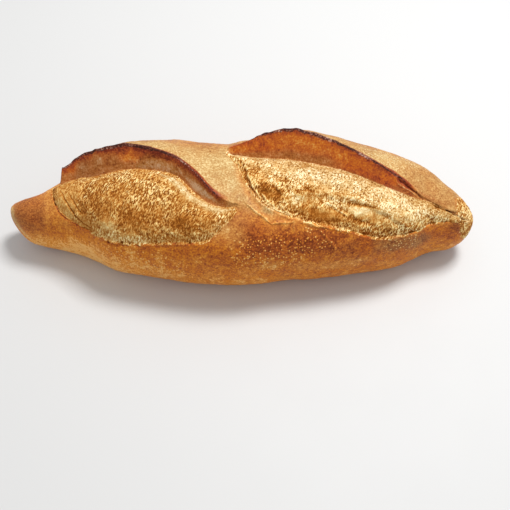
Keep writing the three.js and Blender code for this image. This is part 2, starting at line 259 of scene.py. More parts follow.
# Lines on the surface: (station, angle) points, half width and height in mm (a groove where negative),
# and the changes of tone and hue along them
LINES = [
    # grooves round the first bloom's left end
    ([(-0.796, 106), (-0.772, 75), (-0.733, 52.8), (-0.666, 37.6), (-0.593, 29.2)], 0.5, -0.8, -0.6, 0),
    ([(-0.746, 86.7), (-0.705, 63.3), (-0.675, 49.9), (-0.638, 39.3), (-0.58, 30.1)], 0.5, -0.8, -0.55, 0),
    ([(-0.72, 84), (-0.68, 64), (-0.655, 53), (-0.62, 44)], 0.4, -0.5, -0.4, 0),
    # tears along the first bloom's lower edge, darkened with painted shade
    ([(-0.58, 28), (-0.526, 23), (-0.474, 22.2), (-0.356, 23.4)], 0.35, -0.6, -0.35, 0),
    ([(-0.363, 36.5), (-0.356, 31.1), (-0.34, 28.2)], 0.4, -0.6, -0.4, 0),
    ([(-0.3, 26.8), (-0.25, 28), (-0.21, 29.5), (-0.16, 31)], 0.35, -0.5, -0.25, 0),
    # smooth raised strip between the first bloom and its ear, its pale cream a painted highlight along the
    # crumb's crest
    ([(-0.34, 92), (-0.242, 76), (-0.187, 66), (-0.09, 57), (-0.02, 58)], 2.6, 0.5, 0.25, 1.8),
    # line along the first ear's face, with a dull strip below it
    ([(-0.485, 105.3), (-0.416, 105.8), (-0.352, 104.5), (-0.288, 100.6), (-0.255, 97), (-0.228, 91)],
     0.4, -0.4, -0.5, 0),
    ([(-0.43, 103), (-0.352, 101), (-0.3, 97.5), (-0.25, 92)], 2.2, 0.4, 0.25, -0.8),
    ([(-0.258, 97), (-0.245, 93), (-0.232, 88.8)], 0.6, 0.3, 0.4, -0.3),
    ([(-0.225, 88), (-0.179, 79), (-0.141, 72.2), (-0.09, 65.5)], 1.8, 0.2, 0.7, -0.6),
    # dark red foot of the second ear's face on the right
    ([(0.36, 104.5), (0.423, 100.5), (0.504, 93.5), (0.586, 83.5), (0.647, 74.3)], 3, 0, 0, 0.7),
    # torn skin round the second bloom: a brown line down its left side, partly painted shadow cast by the
    # crust's raised edge, pale edges inside it and below
    ([(-0.04, 116), (-0.026, 114), (-0.004, 106), (0.011, 99), (0.022, 90.3), (0.037, 82.6), (0.061, 73.8),
      (0.082, 66.2)], 1.1, -0.5, -0.38, -0.9),
    ([(0.028, 93.7), (0.047, 80.8), (0.068, 72.8), (0.085, 66.1)], 0.6, 0.7, 0.75, 0.3),
    ([(0.084, 66.2), (0.112, 60.9), (0.149, 55.4), (0.182, 51.4), (0.215, 47.5), (0.254, 44.5), (0.3, 41.5),
      (0.344, 39.3), (0.384, 38.3)], 0.5, 0.8, 0.6, 0.4),
    ([(0.084, 73.6), (0.101, 67.1), (0.125, 61.4), (0.158, 55.4)], 0.55, 0.7, 0.7, 0.3),
    ([(0.164, 59.5), (0.175, 55.1), (0.198, 51.2), (0.225, 50.1), (0.23, 52.1)], 0.6, 0.8, 0.75, 0.4),
    # fold of the crust beside it, darkened with painted shade in the fold
    ([(-0.034, 109), (-0.004, 93), (0.018, 80), (0.048, 67), (0.085, 58)], 2, -0.3, -0.12, -0.4),
    # strands, slits and folds in the second bloom
    ([(0.112, 88.1), (0.132, 81.4), (0.153, 74.5), (0.173, 68.8), (0.199, 67.5)], 0.9, 0.6, 0.3, 0.5),
    ([(0.324, 61), (0.364, 57.3), (0.398, 52.3), (0.446, 45.2)], 0.6, 0.7, 0.35, 0.5),
    ([(0.09, 81), (0.126, 77), (0.153, 70.6), (0.175, 66)], 0.7, -0.4, -0.25, -0.8),
    ([(0.171, 84), (0.197, 79)], 0.6, -0.6, -0.4, -0.9),
    ([(0.232, 71), (0.276, 70.8), (0.288, 68.5)], 0.7, -0.6, -0.35, -0.9),
    ([(0.414, 60), (0.464, 58), (0.517, 55.6), (0.562, 54)], 0.8, -0.3, -0.42, -1.2),
    ([(0.396, 51), (0.421, 48), (0.47, 44), (0.532, 41.4)], 1, -0.4, -0.3, -0.6),
    # ridge on the bridge between the slashes
    ([(0.02, 63.8), (0.057, 57.1), (0.097, 50.6), (0.13, 44.9)], 0.8, 0.9, 0.35, 0),
    ([(0.13, 44.9), (0.156, 45.2), (0.202, 44.7), (0.215, 47)], 0.7, 0.8, 0.3, 0),
    ([(0.215, 47), (0.215, 36.3)], 0.4, 0.35, 0.2, 0.2),
    # faint facets of the near crust
    ([(-0.299, 23), (-0.32, -16)], 0.7, 0.7, 0.3, 0),
    ([(-0.211, 26), (-0.223, -9)], 0.7, 0.7, 0.3, 0),
    ([(0.301, 41.9), (0.343, 32.2), (0.376, 25), (0.385, 17.2), (0.356, 6.3)], 0.7, 0.5, 0.22, 0.1),
    # crack that runs on from the second ear to the right tip, darkened with painted shade under its
    # overhanging edge, with its raised rim
    ([(0.74, 66.5), (0.782, 63.1), (0.807, 62.7), (0.835, 61.9), (0.868, 64.1), (0.89, 66.5), (0.927, 68.5),
      (0.97, 70.7)], 0.35, -0.9, -0.6, -0.5),
    ([(0.75, 69.5), (0.782, 66), (0.807, 65.5), (0.835, 64.8), (0.868, 67), (0.895, 70)], 0.7, 0.5, 0.12, 0),
    ([(0.88, 64.6), (0.89, 58.4)], 0.35, -0.8, -0.5, 0),
    # torn double edge at the second ear's right end: a crevice darkened with painted shade, a thin strand
    # below it and a pale rim above
    ([(0.605, 94), (0.641, 87.2), (0.667, 82.5), (0.703, 76), (0.727, 71.3), (0.745, 67.1)],
     0.45, -0.7, -0.5, 0),
    ([(0.6, 94), (0.629, 86.2), (0.649, 81.7), (0.671, 78.8), (0.703, 73.2), (0.728, 68)],
     0.35, 0.6, 0.6, -0.9),
    ([(0.595, 104), (0.636, 90.3), (0.672, 85.8), (0.696, 80.8), (0.723, 74.8), (0.746, 69.5)],
     0.9, 0.8, 0.3, 0.4),
    ([(0.595, 108.1), (0.61, 99.2)], 0.4, 0.5, 0.3, 0.2),
    # pale rim of the left tip
    ([(-0.905, -12), (-0.934, 10), (-0.953, 32), (-0.966, 48), (-0.978, 66), (-0.986, 84), (-0.984, 104)],
     3, 0, 0.42, 0.6),
]

# Small pits along the first bloom's lower edge, darkened with painted shade: station and angle
PITS = [(-0.525, 23.9), (-0.465, 24.1), (-0.436, 24.4), (-0.402, 23.6), (-0.189, 29.2)]
PIT_REACH = 0.006
PIT_SHAPE_AND_SHADE = (0.7, -1, -0.6, 0)
LINES += [([(x - PIT_REACH, angle), (x + PIT_REACH, angle)], *PIT_SHAPE_AND_SHADE) for x, angle in PITS]

# Patches of other bake, one of them painted shade: station, angle, reach along and across in mm, changes of
# tone and hue
PATCHES = [
    # first bloom
    (-0.442, 46, 9, 5, -0.2, 0), (-0.543, 50, 7, 5, -0.12, 0), (-0.35, 43, 8, 5, -0.12, 0),
    (-0.521, 40, 6, 5, 0.2, 0.15), (-0.6, 60, 9, 6, -0.1, 0), (-0.45, 28, 18, 3.5, 0.18, 0.2),
    (-0.22, 44, 8, 5, -0.26, 0), (-0.71, 68, 8, 14, 0.11, 0),
    # second bloom: browned hollow, floury lumps, browned terrace, cream beside the crease
    (0.115, 73, 8, 4.5, -0.33, -0.8), (0.086, 78, 5, 4, -0.12, -0.6), (0.16, 64.5, 5, 3.5, -0.18, -0.7),
    (0.2, 54.5, 5, 3, -0.2, -0.4), (0.218, 62.6, 5.5, 3.5, 0.2, 0.5), (0.045, 93, 4, 4, -0.2, -0.5),
    (0.181, 79.4, 3.5, 2.5, -0.15, -0.6), (0.272, 71.7, 3.5, 2.5, -0.2, -0.6),
    (0.229, 70.5, 3, 2, -0.2, -0.6),
    (0.28, 49.6, 9, 4.2, -0.13, -0.6), (0.327, 47, 9, 4.2, -0.13, -0.6), (0.375, 43.5, 8, 3.5, -0.13, -0.5),
    (0.42, 43, 8, 3.5, -0.15, -0.3), (0.57, 31, 14, 4, -0.15, -0.2), (0.3, 88, 16, 6, 0.1, 0.3),
    (0.4, 79, 16, 6, 0.1, 0.3), (0.65, 60, 18, 10, 0.15, 0.1), (0.48, 52.5, 9, 3, 0.27, 0.4),
    # crust: left tip, near side, bridge between the slashes, right tip
    (-0.905, 78, 14, 13, -0.43, 0.22), (-0.88, 20, 10, 12, 0.1, 0.12), (-0.02, 16, 11, 6, -0.08, 0),
    (0.14, 30, 20, 9, -0.21, 0),
    (0.3, 29, 17, 8, -0.24, 0), (0.05, 31, 8, 4, -0.06, 0), (-0.03, 41, 12, 8, 0.05, 0.34),
    (0.08, 23, 11, 9, -0.1, 0), (0.13, 10, 8, 4, 0.08, 0.15), (0.3, 4, 16, 5, 0.14, 0.15),
    (0.45, 3, 16, 5, 0.12, 0.15), (0.42, 25, 13, 7, -0.12, 0.08),
    (0.63, 22, 14, 6, -0.18, 0.6), (0.74, 18, 10, 6, -0.14, 0.6), (0.865, 35, 7, 7, -0.04, 0),
    # the patch at station 0.115, angle 57 is painted shade: the greyish facet between the bridge's ridge and
    # the second bloom
    (0.9, 44, 4, 4.5, -0.35, 0), (0.03, 46, 11, 7, -0.25, -0.16), (0.115, 57, 4, 2.5, -0.05, 0.6),
    # back, and the first ear's face
    (0.78, 90, 22, 15, -0.22, -0.12), (-0.06, 118, 12, 8, 0.1, 0.1), (0.5, 120, 14, 12, -0.14, 0),
    (-0.46, 109, 9, 3.5, 0.3, 0.75),
    (-0.553, 107.8, 4, 2, -0.35, 0), (-0.6, 107.8, 5, 1.8, -0.35, -0.2), (-0.605, 111.6, 5, 2.5, 0.42, -0.3),
    (-0.675, 114.8, 5, 3, 0.36, -0.1), (-0.73, 121, 4, 3, 0, 0.6),
    # the second ear's face: a brighter middle and small dark spots
    (0.2, 119.5, 14, 3, 0.04, 0), (0.27, 113.6, 0.8, 0.8, -0.6, 0), (0.216, 116.3, 0.6, 0.6, -0.5, 0),
    (0.306, 112.6, 0.6, 0.6, -0.5, 0), (0.081, 122.5, 0.8, 0.8, -0.4, 0), (0.09, 122, 4, 1.5, -0.25, 0.3),
    (0.2, 117, 1, 1, -0.35, 0),
]
# White specks near the right tip: station, angle and reach in mm
SPECKS = [(0.592, 18.9, 0.7), (0.639, 25.4, 0.6), (0.684, 23.9, 0.7), (0.704, 14.5, 0.7), (0.743, 17.4, 0.6)]
SPECK_CHANGES = (0.8, 0.8)
PATCHES += [(x, angle, reach, reach, *SPECK_CHANGES) for x, angle, reach in SPECKS]

# Smooth places of the blooms and the left tip: station, angle, reach along and across in mm
CALM_PLACES = [
    (-0.71, 66, 8, 16), (-0.63, 40, 8, 7), (-0.521, 40, 6, 5), (0.115, 72, 7, 4), (0.33, 50, 12, 4),
    (0.5, 51, 13, 5), (-0.16, 64, 14, 3), (-0.9, 75, 18, 18), (-0.24, 77, 9, 4), (-0.19, 67, 9, 4),
    (-0.1, 58, 8, 3),
]

# Blistered places of the crust: station, angle, reach along and across in mm
BLISTERED_PLACES = [
    (0.12, 22, 24, 12), (0.3, 28, 14, 10), (0.68, 20, 16, 7), (-0.4, 5, 30, 10), (0.6, 120, 20, 14),
]

# Tone of the crust, 0 dark to 1 pale, by the angle round a section, and its change along the near side.
# The paler band low on the near flank, from about -40 to -15 degrees, is painted light bounced up from below
CRUST_TONE_AND_BOUNCE = [
    (-90, 0.45), (-40, 0.74), (-15, 0.72), (12, 0.55), (30, 0.5), (50, 0.6), (75, 0.7), (90, 0.74),
    (115, 0.7), (130, 0.52), (165, 0.48), (270, 0.45),
]
NEAR_TONE = [
    (-0.95, 0), (-0.8, 0.2), (-0.68, 0.42), (-0.58, 0.3), (-0.45, 0.14), (-0.25, 0.02), (0.1, 0), (0.3, -0.1),
    (0.9, -0.06),
]
NEAR_REACH = 45
# Hue of the crust by the same angle: 0 orange, 1 beige
CRUST_HUE = [
    (-20, 0.08), (8, 0.05), (20, 0), (32, 0.02), (52, 0.43), (70, 0.85), (115, 0.95), (140, 0.6), (200, 0.4),
    (270, 0.2),
]
# Share of that hue by station, because the left tip is more orange
HUE_SHARE = [(-0.85, 0.15), (-0.6, 1)]
# Station where the pale crumbly skin of the right tip begins, by the same angle, with the rag of that edge,
# and the skin's tone, creaminess and clumps
TIP_EDGE = [(-60, 0.985), (6, 0.945), (42, 0.918), (60, 0.9), (87, 0.902), (120, 0.935), (180, 0.975)]
TIP_RAG = 1.5 * MM
TIP_TONE = 0.56
TIP_CREAM = 0.15
TIP_CLUMPS = 0.22

# Colours by tone, from dark to pale: tone, red, green and blue
ORANGE_CRUST = [
    (0.0, 0.18, 0.034, 0.006), (0.25, 0.35, 0.077, 0.013), (0.5, 0.53, 0.142, 0.015),
    (0.75, 0.69, 0.232, 0.016), (0.88, 0.77, 0.288, 0.028), (1.0, 0.9, 0.47, 0.13),
]
BEIGE_CRUST = [
    (0.0, 0.16, 0.05, 0.014), (0.25, 0.3, 0.13, 0.034), (0.5, 0.41, 0.213, 0.066),
    (0.75, 0.53, 0.325, 0.12), (1.0, 0.71, 0.54, 0.26),
]
CREAM = [
    (0.0, 0.2, 0.065, 0.006), (0.2, 0.34, 0.14, 0.025), (0.4, 0.47, 0.245, 0.07),
    (0.6, 0.6, 0.39, 0.155), (0.8, 0.76, 0.58, 0.31), (1.0, 0.95, 0.84, 0.56),
]
CRUMB = [
    (0.0, 0.2, 0.052, 0.003), (0.2, 0.34, 0.106, 0.009), (0.4, 0.48, 0.18, 0.029),
    (0.6, 0.64, 0.34, 0.09), (0.8, 0.8, 0.53, 0.19), (1.0, 0.96, 0.75, 0.35),
]
DULL_FACE = [
    (0.0, 0.15, 0.036, 0.006), (0.25, 0.265, 0.086, 0.013), (0.5, 0.36, 0.142, 0.031),
    (0.75, 0.45, 0.225, 0.095), (1.0, 0.56, 0.35, 0.2),
]
RED_FACE = [
    (0.0, 0.16, 0.02, 0.007), (0.25, 0.3, 0.053, 0.014), (0.5, 0.425, 0.089, 0.012),
    (0.75, 0.545, 0.147, 0.013), (1.0, 0.64, 0.28, 0.055),
]
# burnt edges: near black-brown, with the pale top of this ramp painting glints of gloss on them
CHAR_AND_GLINTS = [
    (0.0, 0.022, 0.006, 0.004), (0.42, 0.045, 0.011, 0.007), (0.52, 0.1, 0.026, 0.015),
    (0.62, 0.18, 0.06, 0.035), (0.76, 0.5, 0.3, 0.23),
]

# Floor
FLOOR_SIZE = 6
FLOOR_COLOUR = (0.64, 0.64, 0.635, 1)
FLOOR_ROUGHNESS = 0.6
FLOOR_SWING = 0.1

# Textures of the materials: size and detail of each noise
FINE_TEXTURE = (0.9 * MM, 2)
MOTTLE_TEXTURE = (2.6 * MM, 3)
CLOUD_TEXTURE = (9 * MM, 3)
STROKE_TEXTURE = (0.58 * MM, 1)
SPECK_TEXTURE = (0.95 * MM, 1)
FLOOR_TEXTURE = (40 * MM, 2)
TEXTURE_ROUGHNESS = 0.55
# Scattered spots: size of a cell, where a spot begins and where it is full, in cells from its middle, and
# the random numbers between which cells come to have one
DOTS = (1.4 * MM, (0.42, 0.26), (0.4, 0.5))
SMALL_PITS = (4.5 * MM, (0.16, 0.06), (0.4, 0.5))
HOLES = (1.3 * MM, (0.34, 0.2), (0.3, 0.4))
# Strokes of the crumb, and the flakes that lie along them
STROKE_ANGLE = math.radians(25)
STROKE_STRETCH = (1, 0.35, 0.35)
STROKE_BEND = 2 * MM
BEND_SIZE = 5 * MM
FLAKE_SIZE = 0.75 * MM
# Change of the specks that take the strokes' place where the crumb is creamy
SPECK_DROP = -0.3
# Values between which a mask or a noise turns from 0 to 1
MASK_RANGE = (0.42, 0.58)
STROKE_RANGE = (0.36, 0.64)
SPECK_RANGE = (0.32, 0.5)
PATCHY_RANGE = (0.36, 0.64)
# How ragged the masks' edges are, and the strength of the texture: least, more in patches, less where calm
CRUMB_RAG = 0.3
CHAR_RAG = 0.5
PATCHY_LEAST = 0.62
PATCHY_GAIN = 0.65
CALM_LOSS = 0.75
# What each texture does to tone and hue, on crust, crumb, ear faces and burnt edges
CRUST_LOOK = SimpleNamespace(
    fine=1.3, mottle=1.1, cloud=0.5, beige_loss=0.5, dots=0.85, pits=-0.35, hue=0.5,
)
CRUMB_LOOK = SimpleNamespace(
    fine=0.8, mottle=0.3, gaps=-0.4, flakes=0.3, weave=0.85, lift=0.18, holes=-0.45, hue=0.5,
)
FACE_LOOK = SimpleNamespace(fine=1.2, mottle=1.0, cloud=0.4, pits=-0.5, hue=0.7)
CHAR_CLOUD = 0.9
# Shine and bump
SPECULAR = 0.13
CRUST_ROUGHNESS = 0.5
ROUGHNESS_SWING = 0.4
CRUMB_ROUGHNESS = 0.9
FACE_ROUGHNESS = 0.42
CHAR_ROUGHNESS = 0.6
BUMP_DISTANCE = 0.4 * MM
FINE_BUMP = 0.25
DOT_BUMP = 0.5
WEAVE_BUMP = 0.3

# Camera of the photograph, with its lens on a full frame of 36 mm
CAMERA_PLACE = Vector((12.8 * MM, -240.4 * MM, 350.4 * MM))
CAMERA_AIM = Vector((8.8 * MM, -13.5 * MM, 0))
CAMERA_ROLL = math.radians(1.06)
LENS = 48.23
SENSOR = 36

# Light: a broad key above, from behind on the right, and pale surroundings
KEY_PLACE = Vector((0.3, 0.32, 1.0))
KEY_SIZE = 0.3
KEY_POWER = 10.5
FILL_COLOUR = (1, 1, 1, 1)
FILL_STRENGTH = 0.6

# Lattice noise
RANDOM = np.random.default_rng(11)
TABLE = 256
SHUFFLE = RANDOM.permutation(TABLE)
SLOPES = RANDOM.normal(size=(TABLE, 3))
SLOPES /= np.linalg.norm(SLOPES, axis=1)[:, None]
SPOTS = RANDOM.random((TABLE, 3))
LAYER_STEP = 17.31
NOISE_GAIN = 1.5


def clamp(t):
    return np.clip(t, 0, 1)


def smooth(t):
    t = clamp(t)
    return t * t * (3 - 2 * t)


def mix(a, b, t):
    return a + (b - a) * t


def bell(t):
    return np.exp(-t * t)


def max_of(arrays):
    return np.max(list(arrays), axis=0)


def along(points, station):
    """Smooth curve through (station, value) points, flat beyond both ends."""
    x, v = np.array(points, float).T
    last = len(x) - 1
    before = np.maximum(np.arange(last + 1) - 1, 0)
    after = np.minimum(np.arange(last + 1) + 1, last)
    slope = (v[after] - v[before]) / (x[after] - x[before])
    i = np.clip(np.searchsorted(x, station) - 1, 0, last - 1)
    step = x[i + 1] - x[i]
    t = clamp((station - x[i]) / step)
    ends = v[i] * (1 + 2 * t) * (1 - t) ** 2 + v[i + 1] * t * t * (3 - 2 * t)
    bends = slope[i] * t * (1 - t) ** 2 - slope[i + 1] * t * t * (1 - t)
    return ends + bends * step


def picks(cell):
    """A fixed random number below TABLE for each cell of the lattice."""
    i, j, k = np.moveaxis(cell % TABLE, -1, 0)
    return SHUFFLE[(SHUFFLE[(SHUFFLE[i] + j) % TABLE] + k) % TABLE]


def noise(points, size, layer):
    """Smooth noise from about -1 to 1 with features of that size."""
    place = points / size + layer * LAYER_STEP
    cell = np.floor(place).astype(int)
    part = place - cell
    fade = part ** 3 * (part * (part * 6 - 15) + 10)
    total = np.zeros(len(place))
    for corner in np.ndindex(2, 2, 2):
        weight = np.prod(np.where(corner, fade, 1 - fade), axis=1)
        total += weight * np.einsum("ij,ij->i", SLOPES[picks(cell + corner)], part - corner)
    return NOISE_GAIN * total


def fractal(points, size, octaves, layer):
    """Noise with finer noise on it, each octave half the size and half the height."""
    shares = 0.5 ** np.arange(octaves)
    return sum(share * noise(points, size * share, layer + k) for k, share in enumerate(shares))


def spots(points, size, layer):
    """Distance in cells to the nearest of scattered spots, one to a cell of that size."""
    place = points / size + layer * LAYER_STEP
    cell = np.floor(place).astype(int)
    nearest = np.full(len(place), np.inf)
    for offset in np.ndindex(3, 3, 3):
        corner = cell + offset - 1
        away = place - corner - SPOTS[picks(corner)]
        nearest = np.minimum(nearest, np.linalg.norm(away, axis=1))
    return nearest


def section_at(station):
    """Sizes of the cross section at a station."""
    near = NEAR_WIDTH * along(NEAR_OUTLINE, station)
    far = FAR_WIDTH * along(FAR_OUTLINE, station)
    crest = CREST_HEIGHT * along(CREST_LINE, station)
    base = END_LIFT * smooth((np.abs(station) - FLAT_REACH) / (1 - FLAT_REACH))
    return SimpleNamespace(
        middle=(far - near) / 2, half=(far + near) / 2, crest=crest, base=base,
        widest=mix(base, crest, WIDEST_SHARE),
    )


def cap_share(x):
    """Share of full size left at x, which rounds both ends off."""
    left = (LEFT_CAP - HALF_LENGTH - x) / LEFT_CAP
    right = (x - HALF_LENGTH + RIGHT_CAP) / RIGHT_CAP
    run = clamp(np.maximum(left, right))
    return np.sqrt(1 - run * run)


def arch_radius(section, angle):
    """Plain arch, as a distance from the section's centre."""
    across = np.abs(np.cos(angle)) / section.half
    upward = np.abs(np.sin(angle)) / (section.crest - section.widest)
    return (across ** ARCH_POWER + upward ** ARCH_POWER) ** (-1 / ARCH_POWER)


def slash_lines(slash, station):
    """Angles of a slash's lines at a station."""
    ear = along(slash.ear, station)
    return SimpleNamespace(
        lower=along(slash.lower, station), crease=along(slash.crease, station), ear=ear, lip=ear + LIP_ANGLE,
    )


def openness(slash, station):
    """How far open the slash is: 0 past its ends and 1 between them."""
    first, last = slash.ends
    return smooth((station - first) / slash.fade[0]) * smooth((last - station) / slash.fade[1])


def bloom_lift(slash, station, lines, degrees, radius):
    """Height of the bloom above the plain arch."""
    span = lines.crease - lines.lower
    share = clamp((degrees - lines.lower) / span)
    width = np.radians(span) * radius
    ramp = clamp((degrees - lines.lower) / STEP_ANGLE)
    swell = BLOOM_BULGE * np.sin(np.pi * share) ** BULGE_POWER
    edge = CRUST_STEP * ramp * bell(share * width / STEP_REACH)
    depth = along(slash.depth, station)
    crease = CREASE_DEPTH * depth * bell((1 - share) * width / (CREASE_WIDTH * np.sqrt(depth)))
    terrace = TERRACE_DROP * ramp * smooth((along(slash.terrace, station) - share) / TERRACE_EASE)
    return openness(slash, station) * (swell - edge - crease - terrace)


def ear_rag(slash, station, rise):
    """How far the ear's torn edge stands above or below its smooth line."""
    x = np.ravel(station) * HALF_LENGTH
    line = np.stack([x, np.zeros_like(x), np.full_like(x, slash.rise_height)], axis=1)
    rag = sum(noise(line, *kind) for kind in RAG_NOISES)
    return RAG_HEIGHT * np.reshape(rag, np.shape(station)) * smooth(rise / RAG_RISE)


def slash_lift(slash, station, degrees, radius):
    """Height that a slash adds to the arch at an angle: bloom, ear face, ear edge and the ear's back."""
    lines = slash_lines(slash, station)
    bloom = bloom_lift(slash, station, lines, degrees, radius)
    rise = slash.rise_height * along(slash.rise, station)
    share = clamp((degrees - lines.crease) / (lines.ear - lines.crease))
    floor = -CREASE_DEPTH * along(slash.depth, station) * openness(slash, station)
    rag = ear_rag(slash, station, rise)
    face = mix(floor, rise, share - FACE_HOLLOW * np.sin(np.pi * share)) + rag * share ** RAG_POWER
    back = LIP_SHARE * np.minimum(rise, slash.rise_height * along(slash.back_rise, station))
    over = clamp((degrees - lines.ear) / LIP_ANGLE)
    lip = mix(rise, back, over) + rag * (1 - over) ** 2
    span = np.minimum(slash.back_span, FAR_SIDE - lines.lip)
    away = clamp((degrees - lines.lip) / span)
    behind = back * (1 - away) ** 2 * (1 + BACK_FULLNESS * away)
    zones = [degrees <= lines.lower, degrees < lines.crease, degrees < lines.ear, degrees < lines.lip]
    return np.select(zones, [np.zeros_like(bloom), bloom, face, lip], behind)


def arch_points(station, degrees):
    """Points over the arch, for arrays of stations and angles."""
    section = section_at(station)
    angle = np.radians(degrees)
    plain = arch_radius(section, angle)
    radius = plain + sum(slash_lift(slash, station, degrees, plain) for slash in SLASHES)
    return capped(station, section.middle - radius * np.cos(angle), section.widest + radius * np.sin(angle))


def capped(station, y, z):
    """Points of a ring, drawn in towards the tip in the rounded ends."""
    x = station * HALF_LENGTH
    share = cap_share(x)
    left = station < 0
    y = mix(np.where(left, LEFT_TIP[0], RIGHT_TIP[0]), y, share)
    z = mix(np.where(left, LEFT_TIP[1], RIGHT_TIP[1]), z, share)
    return np.stack([np.broadcast_to(x, y.shape), y, z], axis=-1)


def ring_stations():
    """Stations of the rings: even between the rounded ends, closing up towards both tips."""
    turn = np.linspace(0, np.pi / 2, CAP_ROWS + 1)[1:]
    left = LEFT_CAP * (1 - np.cos(turn)) - HALF_LENGTH
    right = HALF_LENGTH - RIGHT_CAP * (1 - np.cos(turn))
    middle = np.linspace(left[-1], right[-1], MIDDLE_ROWS + 1)[1:-1]
    return np.concatenate([left, middle, right[::-1]])[:, None] / HALF_LENGTH


def column_angles(station):
    """Angles of the columns over the arch, close together in the blooms and on the ears."""
    start = np.zeros_like(station)
    bands = []

    def band(end, count):
        nonlocal start
        bands.append(mix(start, end, np.arange(count) / count))
        start = end

    for slash, crust_columns in zip(SLASHES, CRUST_COLUMNS):
        lines = slash_lines(slash, station)
        band(lines.lower, crust_columns)
        band(lines.crease, BLOOM_COLUMNS)
        band(lines.ear, FACE_COLUMNS)
        band(lines.lip, LIP_COLUMNS)
    band(np.full_like(station, FAR_SIDE), CRUST_COLUMNS[-1])
    return np.hstack(bands + [start])


def flank_points(station, side):
    """Points on one flank, from just below the widest level to the edge of the flat base."""
    section = section_at(station)
    turn = np.linspace(0, np.pi / 2, FLANK_COLUMNS + 1)[1:]
    out = np.abs(np.cos(turn)) ** (2 / FLANK_POWER)
    down = np.sin(turn) ** (2 / FLANK_POWER)
    reach = mix(BASE_SHARE * section.half, section.half, out)
    return capped(station, section.middle + side * reach, mix(section.widest, section.base, down))


def base_points(station):
    """Points across the flat base, between its two edges."""
    section = section_at(station)
    reach = BASE_SHARE * section.half * np.linspace(1, -1, BASE_COLUMNS + 1)[1:-1]
    return capped(station, section.middle + reach, np.broadcast_to(section.base, reach.shape))


def grid_normals(points):
    """Outward directions on the closed rings of points."""
    lengthwise = np.gradient(points, axis=0)
    around = np.roll(points, -1, axis=1) - np.roll(points, 1, axis=1)
    normals = np.cross(lengthwise, around)
    return normals / np.maximum(np.linalg.norm(normals, axis=2, keepdims=True), TINY)


def survey():
    """Every point of the plain surface, with its outward direction, station and angle."""
    station = ring_stations()
    degrees = column_angles(station)
    parts = [
        arch_points(station, degrees), flank_points(station, 1), base_points(station),
        flank_points(station, -1)[:, ::-1],
    ]
    points = np.concatenate(parts, axis=1)
    normals = grid_normals(points)
    section = section_at(station)
    flank = points[:, degrees.shape[1]:]
    turn = np.degrees(np.arctan2(flank[..., 2] - section.widest, section.middle - flank[..., 1]))
    degrees = np.hstack([degrees, np.where(turn < -90, turn + 360, turn)])
    radius = arch_radius(section, np.radians(degrees))
    count = degrees.size
    return SimpleNamespace(
        shape=degrees.shape, points=points.reshape(count, 3), normals=normals.reshape(count, 3),
        station=np.broadcast_to(station, degrees.shape).ravel(), degrees=degrees.ravel(),
        radius=radius.ravel(),
    )


def edge_distance(skin, line):
    """Distance above a slash's line, measured square to the line."""
    rise = along(line, skin.station + SLOPE_STEP) - along(line, skin.station - SLOPE_STEP)
    slope = np.radians(rise) / (2 * SLOPE_STEP * HALF_LENGTH)
    return np.radians(skin.degrees - along(line, skin.station)) / np.hypot(1 / skin.radius, slope)


def slash_masks(skin, slash):
    """Where a slash's bloom, face, burnt edge and torn skin lie, and the shares up its bloom and face."""
    lines = slash_lines(slash, skin.station)
    inside = edge_distance(skin, slash.lower) + TEAR_DEPTH * fractal(skin.points, *TEAR_NOISE)
    below = -edge_distance(skin, slash.crease)
    opened = smooth(OPENING_GAIN * openness(slash, skin.station))
    rise = slash.rise_height * along(slash.rise, skin.station)
    up_face = clamp((skin.degrees - lines.crease) / (lines.ear - lines.crease))
    height = np.hypot(rise + CREASE_DEPTH, np.radians(lines.ear - lines.crease) * skin.radius)
    uneven = 1 + BURN_SWING * fractal(skin.points, *BURN_NOISE)
    burn = mix(-MASK_BAND, along(slash.burn, skin.station) * MM * uneven, smooth(rise / BURN_RISE))
    behind = np.radians(skin.degrees - lines.ear) * skin.radius
    from_edge = np.where(skin.degrees <= lines.ear, (1 - up_face) * height, behind)
    depth = np.minimum(inside, below) - MASK_BAND * (1 - opened)
    torn = bell((inside + SKIN_OUTSET) / SKIN_WIDTH) * (below > 0) * opened
    return SimpleNamespace(
        depth=depth,
        bloom=smooth(0.5 + depth / RELIEF_BAND),
        face=(skin.degrees > lines.crease) * (skin.degrees <= lines.lip) * smooth(rise / FACE_RISE),
        burnt=burn - from_edge,
        skin=torn * along(slash.skin_share, skin.station),
        up=clamp((skin.degrees - lines.lower) / (lines.crease - lines.lower)),
        up_face=up_face,
    )


def line_track(points):
    """Points along a smooth line over the arch."""
    knots = np.array(points, float)
    order = np.arange(len(knots))
    steps = np.linspace(0, len(knots) - 1, LINE_STEPS * len(knots))
    stations, angles = (along(np.stack([order, values], axis=1), steps) for values in knots.T)
    return arch_points(stations, angles)


def draw_line(skin, points, half_width, wander):
    """Strength of a line on the surface, from 0 away from it to 1 along its middle."""
    track = line_track(points)
    reach = LINE_REACH * half_width + LINE_WANDER
    low = track.min(axis=0) - reach
    high = track.max(axis=0) + reach
    where = np.flatnonzero(np.all((skin.points > low) & (skin.points < high), axis=1))
    place = skin.points[where] + wander[where]
    gap = np.full(len(where), np.inf)
    share = np.zeros(len(where))
    for k, (start, end) in enumerate(zip(track[:-1], track[1:])):
        step = end - start
        t = clamp((place - start) @ step / (step @ step))
        away = np.linalg.norm(place - start - t[:, None] * step, axis=1)
        share = np.where(away < gap, (k + t) / (len(track) - 1), share)
        gap = np.minimum(away, gap)
    taper = np.sin(np.pi * np.clip(share, TAPER_END, 1 - TAPER_END)) ** TAPER_POWER
    strength = np.zeros(len(skin.points))
    strength[where] = taper * bell(gap / (half_width * taper))
    return strength


